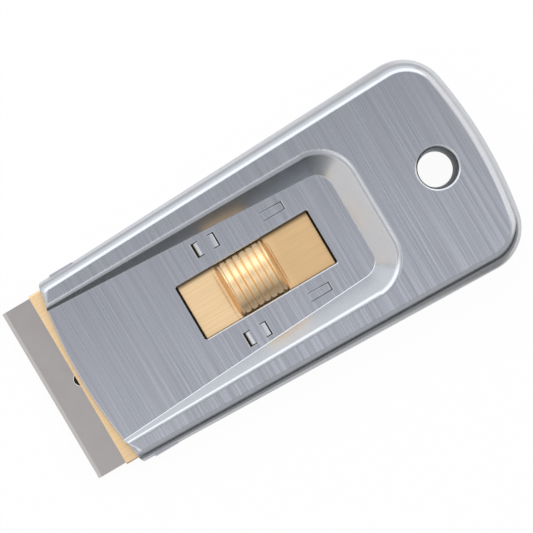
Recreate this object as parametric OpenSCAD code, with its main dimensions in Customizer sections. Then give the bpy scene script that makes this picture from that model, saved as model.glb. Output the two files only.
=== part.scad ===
// Razor blade scraper: a pressed steel handle with a brass carrier that slides in it and holds
// a single-edge blade. Millimetres, +Z up. The cutting edge points to -X, the part is symmetric
// about Y = 0, the rim of the handle stands on Z = 0, and the carrier is in its working place.

/* [Blade] */
// Length of the cutting edge
blade_w = 38.1; // [36:0.1:42]
// Height of the blade, from the cutting edge to its back
blade_h = 18.6; // [17:0.1:20]
// Thickness of the blade
blade_t = 0.23; // [0.2:0.01:0.4]
// Width of the ground bevel along the cutting edge
bevel_w = 0.75; // [0.4:0.05:1.5]
// Diameter of the hole in the middle of the blade
blade_hole_d = 2.9; // [2:0.1:3.5]
// Distance of that hole behind the cutting edge
blade_hole_x = 6.9; // [6:0.1:8]
// Diameter of the half-round notch in each end of the blade
notch_d = 3.2; // [2:0.1:4]
// Distance of the notches behind the cutting edge
notch_x = 10.2; // [9.5:0.1:11]
// Thickness of the strip that is folded over the back of the blade
strip_t = 0.36; // [0.25:0.01:0.5]
// Width of the folded strip, from its front edges to its fold
spine_w = 5.2; // [4:0.1:5.5]

/* [Carrier] */
// Thickness of the carrier's brass sheet
carrier_t = 0.5; // [0.4:0.05:0.7]
// Distance of the carrier's front lip behind the cutting edge
lip_x = 6.3; // [5:0.1:8]
// Distance from the front lip to the shoulders where the carrier narrows
shoulder_l = 15.2; // [14.5:0.1:18]
// Radius of the shoulders
shoulder_r = 2; // [1:0.1:4]
// Width of the tongue that runs back under the window
tongue_w = 27; // [25:0.1:30]
// Thickness of the flanges beside the ends of the blade
flange_t = 0.3; // [0.25:0.05:0.6]
// Length of the flanges beside the ends of the blade
flange_l = 7; // [6:0.1:7.5]

/* [Thumb piece] */
// Length of the ribbed thumb piece
bump_l = 13.1; // [11:0.1:15]
// Height of the thumb piece above the handle's panel
bump_rise = 1.8; // [1.2:0.1:2.6]
// Number of bands that grooves part on the thumb piece
band_count = 6; // [4:1:9]
// Depth of the grooves between the bands
groove_depth = 0.2; // [0.1:0.05:0.4]

/* [Slide] */
// Travel from the working place back to the place where the blade is covered
travel_back = 9.5; // [8.5:0.1:12]
// Travel from the working place out to the place where the blade is changed
travel_out = 7.1; // [6:0.1:9]
// How far the cutting edge stands out of the handle in the working place
blade_reach = 7.1; // [6:0.1:8]

/* [Handle] */
// Length of the handle, from the middle of its front edge to its rear
handle_l = 94.1; // [91:0.1:110]
// How much wider each side gets from the front edge to the rear corners
side_flare = 2.75; // [1:0.05:5]
// Radius of the bowed front edge
front_r = 95; // [70:1:200]
// Radius of the bowed rear edge
rear_r = 90; // [70:1:200]
// Radius of the rear corners
corner_r = 9.4; // [7:0.1:13]
// Lean of the outer walls from upright, which lets the shell leave its press tool
draft = 10; // [3:0.5:12]
// Thickness of the pressed sheet
sheet_t = 0.6; // [0.5:0.05:0.8]
// Radius that rounds the outer top edge
edge_r = 2.2; // [1.5:0.1:2.8]

/* [Recess] */
// Height of the ridge above the panel at the front edge
ridge_front_h = 0.55; // [0.4:0.05:1]
// Height of the ridge above the panel at the rear of the handle
ridge_rear_h = 5.7; // [4.5:0.1:6.5]
// Length over which the front ends of the ridge slope down to the panel
nose_l = 1.6; // [1:0.1:3]
// Width of the ridge beside the panel at the front edge
leg_w = 5.2; // [4.5:0.1:6]
// Slope of the wall between the panel and the ridge
wall_angle = 43; // [41:1:55]
// Radius of the rear corners of the recess, at the ridge
recess_r = 8; // [7.5:0.1:10]
// Radius that rounds the ridge into the wall
brow_r = 2; // [0.8:0.1:2.4]
// Radius of the crease at the foot of the wall
crease_r = 0.4; // [0.2:0.05:0.6]

/* [Window] */
// Distance of the window behind the front edge
window_x = 25.4; // [23:0.1:28]
// Width of the window
window_w = 12.2; // [11:0.1:13]
// Flat panel left between the window and the rear wall of the recess
panel_margin = 7; // [5:0.1:9]

/* [Spring tabs] */
// How far the tabs are pressed down from the panel towards the carrier
tab_dip = 0.3; // [0.2:0.05:0.5]
// Length of each front pair of tabs, from free end to free end
front_tab_l = 5.1; // [4:0.1:6]
// Width of the front tabs
front_tab_w = 2.9; // [2:0.1:3.2]
// Distance of the front tabs' middle behind the front edge of the window
front_tab_x = 9.6; // [8:0.1:12]
// Distance from the window's side to the front tabs
front_tab_gap = 2.75; // [2:0.05:3]
// Length of the rear tabs
rear_tab_l = 5; // [4:0.1:6]
// Width of the rear tabs
rear_tab_w = 1.4; // [1.1:0.1:2]
// Distance of the rear tabs' middle behind the front edge of the window
rear_tab_x = 24.5; // [22:0.1:26]
// Distance from the window's side to the rear tabs
rear_tab_gap = 2.5; // [2:0.05:3]
// Width of the slits that part the tabs from the panel
slit_w = 0.25; // [0.15:0.05:0.35]

/* [Hanging hole] */
// Distance of the hole's middle from the rear of the handle
hole_inset = 11.7; // [10.5:0.1:13]
// Diameter of the hole in the pressed shell
shell_hole_d = 8.4; // [7.6:0.1:9]
// Diameter of the hole in the back plate
plate_hole_d = 7.2; // [6:0.1:7.4]
// Depth of the turned-down lip round the shell's hole
lip_depth = 1.6; // [1.2:0.1:2.5]

/* [Back plate] */
// Thickness of the back plate
plate_t = 0.6; // [0.5:0.05:1]
// How far the back plate stays behind the front edge of the handle
plate_setback = 1; // [0.5:0.1:2]
// Distance of the plate's lock tongues behind the front edge
lock_x = 4.9; // [4:0.1:8]
// Length of the lock tongues
lock_l = 5.2; // [4:0.1:7]
// How far the lock tongues stand out of the handle's sides
lock_proud = 0.2; // [0.1:0.05:0.4]
// Width of the two lugs that hold the plate's rear edge
lug_w = 6; // [4:0.1:9]
// Reach of the lugs under the plate
lug_reach = 1.6; // [1:0.1:2.5]
// Distance of the lugs from the middle of the rear edge
lug_y = 8; // [6:0.1:9]

/* [Hidden] */
$fn = 64;

// Clearances: between pieces that slide, pieces that are held, and the sides of the carrier
run_gap = 0.05;
fit_gap = 0.02;
side_gap = 0.1;
slide_gap = 0.75;
end_gap = 0.5;
plate_gap = 0.1;
overrun = 1;

// Widths, worked outwards from the blade
carrier_w = blade_w + 2 * (side_gap + flange_t);
half_front = carrier_w / 2 + slide_gap + sheet_t;
half_rear = half_front + side_flare;

// Heights, worked upwards from the rim
lug_lift = fit_gap;
plate_z = lug_lift + sheet_t + fit_gap;
plate_top = plate_z + plate_t;
carriage_z = plate_top + run_gap;
blade_z = carriage_z + strip_t + fit_gap;
spine_t = 2 * (strip_t + fit_gap) + blade_t;
lip_z = blade_z + blade_t + fit_gap;
tongue_z = carriage_z + spine_t + fit_gap;
tongue_top = tongue_z + carrier_t;
panel_under = tongue_top + run_gap + tab_dip;
panel_z = panel_under + sheet_t;

// Places along the handle
x_edge = -(handle_l + blade_reach) / 2;
x_front = x_edge + blade_reach;
x_rear = x_front + handle_l;
window_l = bump_l + travel_out + travel_back + 2 * end_gap;
window_x0 = x_front + window_x;
window_x1 = window_x0 + window_l;
bump_x0 = window_x0 + travel_out + end_gap;
hole_x = x_rear - hole_inset;

// The ridge is a wedge: its top rises steadily to the rear
ridge_gain = (ridge_rear_h - ridge_front_h) / handle_l;
ridge_tilt = atan(ridge_gain);
wall_run_share = 1 / tan(wall_angle);
function ridge(x) = ridge_front_h + ridge_gain * (x - x_front);
function land_z(x, nose) = panel_z + nose * ridge(x);

// Outline of the handle: straight flared sides, round rear corners and a bowed rear edge
function front_sag(y) = front_r - sqrt(front_r * front_r - y * y);
rear_centre = [x_rear - rear_r, 0];
corner_y = half_rear - corner_r;
corner_reach = sqrt(pow(rear_r - corner_r, 2) - corner_y * corner_y);
corner = [rear_centre.x + corner_reach, corner_y];
front_corner = [x_front + front_sag(half_front), half_front];
to_corner = corner - front_corner;
side_angle = atan2(to_corner.y, to_corner.x) + asin(corner_r / norm(to_corner));
rear_angle = atan2(corner.y, corner_reach);
function side_y(x) = half_front + (x - front_corner.x) * tan(side_angle);
function ray(a) = [cos(a), sin(a)];

// Outline of the recess at the ridge: a U that is open to the front
recess_half = half_front - leg_w;
crease_x = window_x1 + panel_margin;
recess_x = (crease_x + (ridge_front_h - ridge_gain * x_front) * wall_run_share)
    / (1 - ridge_gain * wall_run_share);
recess_corner = [recess_x - recess_r, recess_half - recess_r];

// Steps of the swept sheet: along its sloped nose, corners and rear, and across its roundings
nose_steps = 2;
corner_steps = 8;
rear_steps = 4;
edge_steps = 6;
brow_steps = 4;
crease_steps = 2;
front_steps = 12;
nose_start_share = 0.1;
brow_share = 1.9;
crease_share = 0.7;

// A station is a place on an outline, the way inwards from it, and how far it follows the bow
// of the front edge. The stations of the outer edge and of the recess go in pairs.
edge_stations = concat(
    [for (i = [0 : nose_steps]) let (s = nose_l * i / nose_steps)
        [front_corner + s * [1, tan(side_angle)], [0, -1], 1]],
    [for (i = [0 : corner_steps])
        let (a = 90 + side_angle + (rear_angle - 90 - side_angle) * i / corner_steps)
        [corner + corner_r * ray(a), -ray(a), 0]],
    [for (i = [1 : rear_steps]) let (a = rear_angle * (1 - i / rear_steps))
        [rear_centre + rear_r * ray(a), -ray(a), 0]]);
recess_stations = concat(
    [for (i = [0 : nose_steps]) let (s = nose_l * i / nose_steps)
        [[x_front + front_sag(recess_half) + s, recess_half], [0, -1], 1]],
    [for (i = [0 : corner_steps]) let (a = 90 * (1 - i / corner_steps))
        [recess_corner + recess_r * ray(a), -ray(a), 0]],
    [for (i = [1 : rear_steps])
        [[recess_x, recess_corner.y * (1 - i / rear_steps)], [-1, 0], 0]]);
half_count = len(edge_stations);
function nose_of(j) = j >= nose_steps ? 1
    : nose_start_share + (1 - nose_start_share) * j / nose_steps;

// The place that lies a distance inwards from a station
function inwards(station, distance) = let (p = station[0] + distance * station[1])
    [p.x + station[2] * (front_sag(p.y) - front_sag(station[0].y)), p.y];
function lifted(p, z) = [p.x, p.y, z];

// Section of the sheet at a station, from the rim to the crease. depth is 0 on the outer face
// and the sheet's thickness on the inner face.
function rim_section(j, depth) =
    let (e = edge_stations[j], r = edge_r - depth, wall_h = land_z(e[0].x, nose_of(j)) - edge_r,
        reach = wall_h * tan(draft) + edge_r / cos(draft))
    concat([lifted(inwards(e, depth / cos(draft)), 0)],
        [for (i = [0 : edge_steps])
            let (a = draft + (90 - draft) * i / edge_steps, p = inwards(e, reach - r * cos(a)))
            lifted(p, land_z(p.x, nose_of(j)) - edge_r + r * sin(a))]);
function wall_section(j, depth) =
    let (e = recess_stations[j], h = nose_of(j) * ridge(e[0].x), half = tan(wall_angle / 2),
        brow = min(brow_r, brow_share * h), crease = min(crease_r, crease_share * h))
    concat(
        [for (i = [0 : brow_steps])
            let (a = wall_angle * i / brow_steps, p = inwards(e, brow * (sin(a) - half)))
            lifted(p, land_z(p.x, nose_of(j)) - brow * (1 - cos(a)) - depth / cos(a))],
        [for (i = [0 : crease_steps])
            let (a = wall_angle * (1 - i / crease_steps),
                p = inwards(e, h * wall_run_share + crease * (half - sin(a))))
            lifted(p, panel_z + crease * (1 - cos(a)) - depth / cos(a))]);
function half_section(j, depth) = concat(rim_section(j, depth), wall_section(j, depth));
function mirrored(points) = [for (p = points) [p.x, -p.y, p.z]];
function section(j, depth) = j < half_count ? half_section(j, depth)
    : mirrored(half_section(2 * half_count - 2 - j, depth));

// Two triangles for four corners in turn
function quad(a, b, c, d) = [[a, b, c], [a, c, d]];
function flat(lists) = [for (l = lists) for (item = l) item];

// Triangles from a middle point to each side of a closed loop
function fan(hub, loop) = [for (i = [0 : len(loop) - 1]) [hub, loop[i], loop[(i + 1) % len(loop)]]];

// The pressed sheet, without its cut-outs, as one closed surface
module pressed_sheet() {
    stations = 2 * half_count - 1;
    k = edge_steps + brow_steps + crease_steps + 4;
    outer = flat([for (j = [0 : stations - 1]) section(j, 0)]);
    inner = flat([for (j = [0 : stations - 1]) section(j, sheet_t)]);
    crease_y = outer[k - 1].y;
    lip = [for (i = [1 : front_steps]) let (y = crease_y * (1 - 2 * i / (front_steps + 1)))
        [x_front + front_sag(y), y, panel_z]];
    middle = [(x_front + window_x0) / 2, 0, panel_z];
    down = [0, 0, -sheet_t];
    points = concat(outer, inner, lip, [for (p = lip) p + down], [middle, middle + down]);
    under = len(outer);
    lip_top = 2 * under;
    lip_under = lip_top + front_steps;
    hub = lip_under + front_steps;
    last = (stations - 1) * k;
    top_row = concat([k - 1], [for (i = [0 : front_steps - 1]) lip_top + i], [last + k - 1]);
    under_row = concat([under + k - 1], [for (i = [0 : front_steps - 1]) lip_under + i],
        [under + last + k - 1]);
    faces = concat(
        flat([for (j = [0 : stations - 2]) for (i = [0 : k - 2])
            quad(j * k + i, (j + 1) * k + i, (j + 1) * k + i + 1, j * k + i + 1)]),
        flat([for (j = [0 : stations - 2]) for (i = [0 : k - 2])
            quad(under + j * k + i + 1, under + (j + 1) * k + i + 1, under + (j + 1) * k + i,
                under + j * k + i)]),
        flat([for (j = [0 : stations - 2])
            quad(j * k, under + j * k, under + (j + 1) * k, (j + 1) * k)]),
        flat([for (i = [0 : k - 2]) quad(i, i + 1, under + i + 1, under + i)]),
        flat([for (i = [0 : k - 2])
            quad(last + i + 1, last + i, under + last + i, under + last + i + 1)]),
        flat([for (i = [0 : front_steps])
            quad(top_row[i], top_row[i + 1], under_row[i + 1], under_row[i])]),
        fan(hub, concat([for (j = [0 : stations - 1]) j * k + k - 1],
            [for (i = [front_steps : -1 : 1]) top_row[i]])),
        fan(hub + 1, concat([for (j = [stations - 1 : -1 : 0]) under + j * k + k - 1],
            [for (i = [1 : front_steps]) under_row[i]])));
    polyhedron(points, faces);
}

// A place on the ridge with its own Z square to the ridge
module on_ridge(x) {
    translate([x, 0, land_z(x, 1)])
        rotate([0, -ridge_tilt, 0])
            children();
}

// Lip that is turned down round the hanging hole, and the round-edged hole itself
module hole_lip() {
    on_ridge(hole_x)
        translate([0, 0, -lip_depth])
            cylinder(h = lip_depth - sheet_t / 2, d = shell_hole_d + 2 * sheet_t);
}

module hole_cut() {
    hole_r = shell_hole_d / 2;
    round_z = fit_gap - sheet_t;
    on_ridge(hole_x)
        rotate_extrude()
            difference() {
                translate([0, -lip_depth - overrun])
                    square([hole_r + sheet_t, lip_depth + 2 * overrun]);
                translate([hole_r, -lip_depth - 2 * overrun])
                    square([2 * sheet_t, lip_depth + 2 * overrun + round_z]);
                translate([hole_r + sheet_t, round_z])
                    circle(sheet_t);
            }
}

// Places of the spring tabs on both sides of the window
front_tab_y = window_w / 2 + front_tab_gap + front_tab_w / 2;
rear_tab_y = window_w / 2 + rear_tab_gap + rear_tab_w / 2;
front_tab_share = 0.37;
front_tab_leaf = front_tab_share * front_tab_l;

// Opening for a tab that reaches from its hinge, at the origin, to +X
module tab_cut(length, width) {
    translate([0, -width / 2, panel_under - overrun])
        cube([length, width, sheet_t + 2 * overrun]);
}

// A tab, bent down from its hinge at the origin, with slits beside it and at its free end
module tab_leaf(length, width) {
    root = sheet_t / 2;
    reach = length - slit_w;
    rotate([90, 0, 0])
        linear_extrude(width - 2 * slit_w, center = true)
            polygon([[-root, panel_z], [0, panel_z], [reach, panel_z - tab_dip],
                [reach, panel_under - tab_dip], [0, panel_under], [-root, panel_under]]);
}

module each_side() {
    for (side = [0, 1])
        mirror([0, side, 0])
            children();
}

module front_tabs_at() {
    each_side()
        translate([window_x0 + front_tab_x, front_tab_y, 0])
            for (turn = [0, 180])
                rotate(turn)
                    translate([front_tab_l / 2 - front_tab_leaf, 0, 0])
                        children();
}

module rear_tabs_at() {
    each_side()
        translate([window_x0 + rear_tab_x - rear_tab_l / 2, rear_tab_y, 0])
            children();
}

// Slot in the side wall for a lock tongue, and the tongue: one block with different clearance
module lock_block(reach, gap) {
    x0 = x_front + lock_x;
    each_side()
        translate([x0 - gap, half_front - sheet_t - overrun, plate_z - gap])
            cube([lock_l + 2 * gap, sheet_t + overrun + reach, plate_t + 2 * gap]);
}

// Lugs of the rear wall that reach in under the back plate
module rear_lugs() {
    wall_r = rear_r - sheet_t / 2;
    wall_x = rear_centre.x + sqrt(wall_r * wall_r - lug_y * lug_y);
    each_side()
        translate([wall_x - sheet_t / 2 - lug_reach, lug_y - lug_w / 2, lug_lift])
            cube([lug_reach + sheet_t / 2, lug_w, sheet_t]);
}

// Pressed steel shell: ridge, recessed panel with its window and tabs, and hanging hole
module top_shell() {
    lock_reach = side_y(x_front + lock_x + lock_l) - half_front + overrun;
    color([0.66, 0.67, 0.70]) {
        difference() {
            union() {
                pressed_sheet();
                hole_lip();
                rear_lugs();
            }
            hole_cut();
            translate([window_x0, -window_w / 2, panel_under - overrun])
                cube([window_l, window_w, sheet_t + 2 * overrun]);
            front_tabs_at()
                tab_cut(front_tab_leaf, front_tab_w);
            rear_tabs_at()
                tab_cut(rear_tab_l, rear_tab_w);
            lock_block(lock_reach, fit_gap);
        }
        front_tabs_at()
            tab_leaf(front_tab_leaf, front_tab_w);
        rear_tabs_at()
            tab_leaf(rear_tab_l, rear_tab_w);
    }
}

// Outline of the back plate, a margin in from the handle's outer edge
module plate_outline(margin) {
    front_y = half_front - margin;
    front = [for (i = [0 : front_steps]) let (y = front_y * (2 * i / front_steps - 1))
        [x_front + plate_setback + front_sag(y), y]];
    back = [for (j = [nose_steps + 1 : half_count - 1]) inwards(edge_stations[j], margin)];
    other = [for (i = [len(back) - 2 : -1 : 0]) [back[i].x, -back[i].y]];
    polygon(concat(front, back, other));
}

// Flat plate that closes the back of the handle
module back_plate() {
    proud = side_y(x_front + lock_x) - half_front + lock_proud;
    color([0.60, 0.61, 0.64])
        difference() {
            union() {
                translate([0, 0, plate_z])
                    linear_extrude(plate_t)
                        plate_outline(sheet_t / cos(draft) + plate_top * tan(draft) + plate_gap);
                lock_block(proud, 0);
            }
            translate([hole_x, 0, plate_z - overrun])
                cylinder(h = plate_t + 2 * overrun, d = plate_hole_d);
        }
}

// Places along the carrier
lip_x0 = x_edge + lip_x;
shoulder_x = lip_x0 + shoulder_l;
spine_x1 = x_edge + blade_h + fit_gap + strip_t;
spine_x0 = spine_x1 - spine_w;
step_x0 = spine_x0 - fit_gap - carrier_t - (tongue_z - lip_z);
tongue_x1 = window_x1 + travel_out + 2 * end_gap;
rail_h = tongue_z - carriage_z;
ear_d = notch_d - 2 * side_gap;
stud_d = blade_hole_d - 2 * side_gap;

// Side view of the carrier's sheet: lip on the blade, step over the spine, and tongue
module carrier_profile() {
    rise = tongue_z - lip_z;
    polygon([[lip_x0, lip_z], [step_x0 + carrier_t, lip_z], [step_x0 + carrier_t + rise, tongue_z],
        [tongue_x1, tongue_z], [tongue_x1, tongue_top], [step_x0 + rise, tongue_top],
        [step_x0, lip_z + carrier_t], [lip_x0, lip_z + carrier_t]]);
}

// Plan of the carrier: wide over the blade, round shoulders, then the narrow tongue
module carrier_outline() {
    half_wide = carrier_w / 2;
    translate([lip_x0, -half_wide])
        square([shoulder_l - shoulder_r, carrier_w]);
    for (side = [-1, 1])
        translate([shoulder_x - shoulder_r, side * (half_wide - shoulder_r)])
            circle(shoulder_r);
    translate([lip_x0, shoulder_r - half_wide])
        square([shoulder_l, carrier_w - 2 * shoulder_r]);
    translate([lip_x0, -tongue_w / 2])
        square([tongue_x1 - lip_x0, tongue_w]);
}

// Height of the thumb piece at a share u of its length and a share v of its half width: a sloped
// front, a steep rear and a crown that falls to both sides, with grooves that part its bands
bump_front_share = 0.18;
bump_rear_share = 0.11;
bump_side_share = 0.14;
bump_crown_share = 0.72;
bump_back_share = 0.1;
groove_start_share = 0.165;
groove_end_share = 0.865;
groove_share = 0.22;
groove_steps = 10;
bump_rows = 14;
hollow_steps = 20;
hollow_rows = 10;
function eased(t) = let (c = min(1, max(0, t))) c * c * (3 - 2 * c);
function rounded(t) = let (c = min(1, max(0, t))) sqrt(1 - (1 - c) * (1 - c));
function grooves(u) =
    let (t = band_count * (u - groove_start_share) / (groove_end_share - groove_start_share))
    t < -groove_share || t > band_count + groove_share ? 0
        : max(0, 1 - abs(t - round(t)) / groove_share);
function bump_shape(u, v, crest, groove) =
    (crest * (1 - bump_crown_share * v * v) * (1 - bump_back_share * pow(2 * u - 1, 2))
        - groove * grooves(u))
        * eased(u / bump_front_share) * eased((1 - u) / bump_rear_share)
        * rounded((1 - abs(v)) / bump_side_share);

// A block with a shaped top, for the outside or the hollow of the thumb piece
module bump_block(inset, base, floor_z, crest, groove, nu, nv) {
    length = bump_l - 2 * inset;
    half = window_w / 2 - 2 * side_gap - inset;
    rows = nv + 1;
    function place(i, j) = [bump_x0 + inset + length * i / nu, half * (2 * j / nv - 1)];
    top = [for (i = [0 : nu]) for (j = [0 : nv])
        lifted(place(i, j), base + bump_shape(i / nu, 2 * j / nv - 1, crest, groove))];
    foot = [for (i = [0 : nu]) for (j = [0 : nv]) lifted(place(i, j), floor_z)];
    n = len(top);
    border = concat([for (i = [0 : nu]) i * rows], [for (j = [1 : nv]) nu * rows + j],
        [for (i = [nu - 1 : -1 : 0]) i * rows + nv], [for (j = [nv - 1 : -1 : 1]) j]);
    count = len(border);
    faces = concat(
        flat([for (i = [0 : nu - 1]) for (j = [0 : nv - 1])
            quad(i * rows + j, i * rows + j + 1, (i + 1) * rows + j + 1, (i + 1) * rows + j)]),
        flat([for (q = [0 : count - 1]) let (a = border[q], b = border[(q + 1) % count])
            quad(a, b, n + b, n + a)]),
        fan(2 * n, [for (q = border) n + q]));
    polyhedron(concat(top, foot, [[bump_x0 + bump_l / 2, 0, floor_z]]), faces);
}

// Stud that stands in the blade's hole and hangs from the lip, level with the blade's face
module blade_stud() {
    translate([x_edge + blade_hole_x, 0, carriage_z]) {
        cylinder(h = blade_z + blade_t - carriage_z, d = stud_d);
        intersection() {
            cylinder(h = lip_z + carrier_t / 2 - carriage_z, d = stud_d);
            translate([lip_x + side_gap - blade_hole_x, -stud_d, 0])
                cube([2 * stud_d, 2 * stud_d, tongue_top]);
        }
    }
}

// Brass carrier: lip, flanges and stud that hold the blade, tongue with rails, and thumb piece
module blade_carrier() {
    crest = panel_z + bump_rise - tongue_top;
    color([0.87, 0.73, 0.50]) {
        difference() {
            union() {
                intersection() {
                    rotate([90, 0, 0])
                        linear_extrude(2 * carrier_w, center = true)
                            carrier_profile();
                    linear_extrude(tongue_top + overrun)
                        carrier_outline();
                }
                bump_block(0, tongue_z + carrier_t / 2, tongue_z + carrier_t / 4,
                    crest + carrier_t / 2, groove_depth, groove_steps * band_count, bump_rows);
            }
            bump_block(carrier_t, tongue_z, tongue_z - overrun, crest, 0, hollow_steps, hollow_rows);
        }
        blade_stud();
        each_side() {
            translate([lip_x0, carrier_w / 2 - flange_t, carriage_z])
                cube([flange_l, flange_t, lip_z + carrier_t / 2 - carriage_z]);
            translate([shoulder_x, tongue_w / 2 - carrier_t, carriage_z])
                cube([tongue_x1 - shoulder_x, carrier_t, rail_h + carrier_t / 2]);
            intersection() {
                translate([x_edge + notch_x, blade_w / 2, carriage_z])
                    cylinder(h = lip_z + carrier_t / 2 - carriage_z, d = ear_d);
                translate([lip_x0, blade_w / 2 - notch_d, 0])
                    cube([shoulder_l, notch_d + side_gap + flange_t / 2, tongue_top]);
            }
        }
    }
}

// Single-edge blade: ground edge, hole in the middle and a notch in each end
module razor_blade() {
    half_t = blade_t / 2;
    color([0.63, 0.62, 0.61])
        difference() {
            translate([x_edge, 0, blade_z + half_t])
                rotate([90, 0, 0])
                    linear_extrude(blade_w, center = true)
                        polygon([[0, 0], [bevel_w, -half_t], [blade_h, -half_t],
                            [blade_h, half_t], [bevel_w, half_t]]);
            translate([x_edge + blade_hole_x, 0, blade_z - overrun])
                cylinder(h = blade_t + 2 * overrun, d = blade_hole_d);
            for (side = [-1, 1])
                translate([x_edge + notch_x, side * blade_w / 2, blade_z - overrun])
                    cylinder(h = blade_t + 2 * overrun, d = notch_d);
        }
}

// Strip folded over the back of the blade
module blade_spine() {
    fold = strip_t + fit_gap;
    slot_t = blade_t + 2 * fit_gap;
    color([0.55, 0.55, 0.56])
        translate([spine_x0, 0, carriage_z])
            rotate([90, 0, 0])
                linear_extrude(blade_w, center = true)
                    difference() {
                        union() {
                            square([spine_w - spine_t / 2, spine_t]);
                            translate([spine_w - spine_t / 2, spine_t / 2])
                                circle(spine_t / 2);
                        }
                        translate([-overrun, strip_t])
                            square([spine_w - fold + fit_gap + overrun, slot_t]);
                    }
}

top_shell();
back_plate();
blade_carrier();
razor_blade();
blade_spine();
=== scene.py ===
"""Razor blade scraper: the looks of its pressed shell, brass carrier, blade and back plate."""

import math
from types import SimpleNamespace

import bmesh
import bpy
from bpy.props import FloatProperty, FloatVectorProperty, IntProperty, PointerProperty
from mathutils import Matrix, Vector


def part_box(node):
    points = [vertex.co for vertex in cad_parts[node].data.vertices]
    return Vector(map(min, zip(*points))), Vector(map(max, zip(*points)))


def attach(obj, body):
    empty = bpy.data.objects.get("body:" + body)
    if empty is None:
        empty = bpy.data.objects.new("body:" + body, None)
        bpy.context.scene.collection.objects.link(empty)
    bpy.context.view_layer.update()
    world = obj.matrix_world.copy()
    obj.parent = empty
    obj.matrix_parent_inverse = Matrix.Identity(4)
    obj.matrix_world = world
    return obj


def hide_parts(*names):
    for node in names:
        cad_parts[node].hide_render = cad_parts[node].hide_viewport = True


bl_info = {
    "name": "Razor Blade Scraper",
    "version": (1, 0, 0),
    "blender": (4, 5, 0),
    "location": "View3D > Sidebar > Scraper",
    "description": "Models a razor blade scraper's shell and carrier, its finishes and a studio",
    "category": "Add Mesh",
}

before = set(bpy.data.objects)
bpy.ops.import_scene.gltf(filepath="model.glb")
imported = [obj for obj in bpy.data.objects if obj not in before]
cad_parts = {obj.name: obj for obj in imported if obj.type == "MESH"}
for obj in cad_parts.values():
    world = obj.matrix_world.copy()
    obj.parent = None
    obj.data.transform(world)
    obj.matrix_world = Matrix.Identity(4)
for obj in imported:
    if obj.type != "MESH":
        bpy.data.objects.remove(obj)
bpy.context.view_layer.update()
SHELL_LOW, SHELL_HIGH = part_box("top_shell")
CARRIER_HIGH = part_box("blade_carrier")[1]
BLADE_LOW, BLADE_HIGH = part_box("razor_blade")
PLATE_LOW, PLATE_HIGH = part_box("back_plate")

# Pieces are modelled with one unit to the millimetre, because the bevel and boolean tools keep
# tolerances that are coarse beside a sheet of metal in metres, and scaled when they are done.
MM = 0.001

# Ends of the shell, in millimetres
X_FRONT, X_REAR = SHELL_LOW.x / MM, SHELL_HIGH.x / MM

# Distances in millimetres: how near two places are that count as one, how far apart they are when
# they clearly aren't, how far a cutter reaches past what it cuts, and how far the bowed front edge
# and what is cut through it lie from the foremost place
NEAR = 0.01
CLEAR = 0.05
SPARE = 1
FRONT_DEPTH = 4

# Takes a place to the other side of the handle
FLIP = Vector((1, -1))

# Limits of a unit normal's parts, which tell the shell's faces apart: its height on upright walls,
# on the level panel, on the ridge's rising top and on all brushed flats, and how far it points to
# the front on front faces
UPRIGHT = 0.2
LEVEL = 0.9999
RIDGE_TOP = (0.99, 0.9995)
BRUSHED = 0.993
FRONTWARD = -0.8

# The shell's slots for bright plating and for the dark sheared finish, which is on the cut edges
# and is painted shade down the hanging hole's wall. Brushed plating is in slot 0.
BRIGHT_SLOT, CUT_EDGE_AND_SHADE_SLOT = 1, 2

# Edges that turn more than this are shaded sharp
SMOOTH_ANGLE = math.radians(32)

# Slope of the ridge's front ends, and how far inside the handle's side their outer length is taken
NOSE_SLOPE = math.radians(21)
NOSE_INSET = 0.8

# The spring tabs of one side: place of the hinge, way and length of the opening, middle and width,
# width of the slits at the free end and beside it, and how far the free end is pressed down. The
# slits beside a tab open over a short strip at its hinge, and its upper edges are rolled over by a
# share of the window's.
TABS = [
    SimpleNamespace(
        hinge=-9.35, way=-1, length=1.7, y=10.3, width=3.1, slit=0.42, gap=0.13, dip=0.26
    ),
    SimpleNamespace(
        hinge=-7.35, way=1, length=1.5, y=10.3, width=3.1, slit=0.2, gap=0.13, dip=0.22
    ),
    SimpleNamespace(
        hinge=3.9, way=1, length=5.05, y=9.35, width=1.8, slit=0.11, gap=0.08, dip=0.26
    ),
]
TAB_STRIP = 0.12
TAB_ROLL = 0.43

# The slot in each side wall for a lock tongue of the back plate: how far it starts behind the
# front edge, its length, how far it goes in and out from the half width, and its play
LOCK_SLOT = SimpleNamespace(start=4.5, length=6, inside=1.2, outside=1.5, play=0.02)

# Form of the thumb piece. Places and runs along it are shares of its length, and its corners begin
# at a share of its half width. Its crown and back fall by shares of its height, and the rounded
# part of a groove is a share of the groove's depth. How far its rim is sunk in the tongue and how
# deep its foot is are in millimetres.
THUMB = SimpleNamespace(
    grid=(168, 56),
    front=0.012,
    front_run=0.15,
    rear=0.985,
    rear_run=0.085,
    soft=0.13,
    crown=0.88,
    crown_power=2.3,
    corner=0.75,
    corner_front=0.02,
    corner_rear=0.015,
    back=0.1,
    first_groove=0.165,
    last_groove=0.85,
    hollow=0.4,
    cut_half=0.13,
    sink=0.02,
    foot=0.2,
)

# Lamps of the studio: name, place and size in metres, power in watts and colour
SOFTBOXES = (
    ("side_softbox", (0, 0.37, 0.47), (1.0, 0.36), 1.35, "FFFFFF"),
    ("side_fill", (0, 0.6, 0.2), (1.4, 0.4), 0.9, "FFFFFF"),
    ("top_strip", (0, -0.08, 0.66), (1.0, 0.14), 0.32, "FFFFFF"),
    ("rear_softbox", (0.55, 0, 0.32), (0.9, 0.62), 1.2, "FFF6EE"),
    ("front_softbox", (-0.62, 0, 0.22), (1.0, 0.4), 0.6, "FFF3E6"),
    ("front_strip", (-0.3, 0, 0.52), (0.7, 0.16), 0.15, "FFF6EC"),
)
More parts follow.
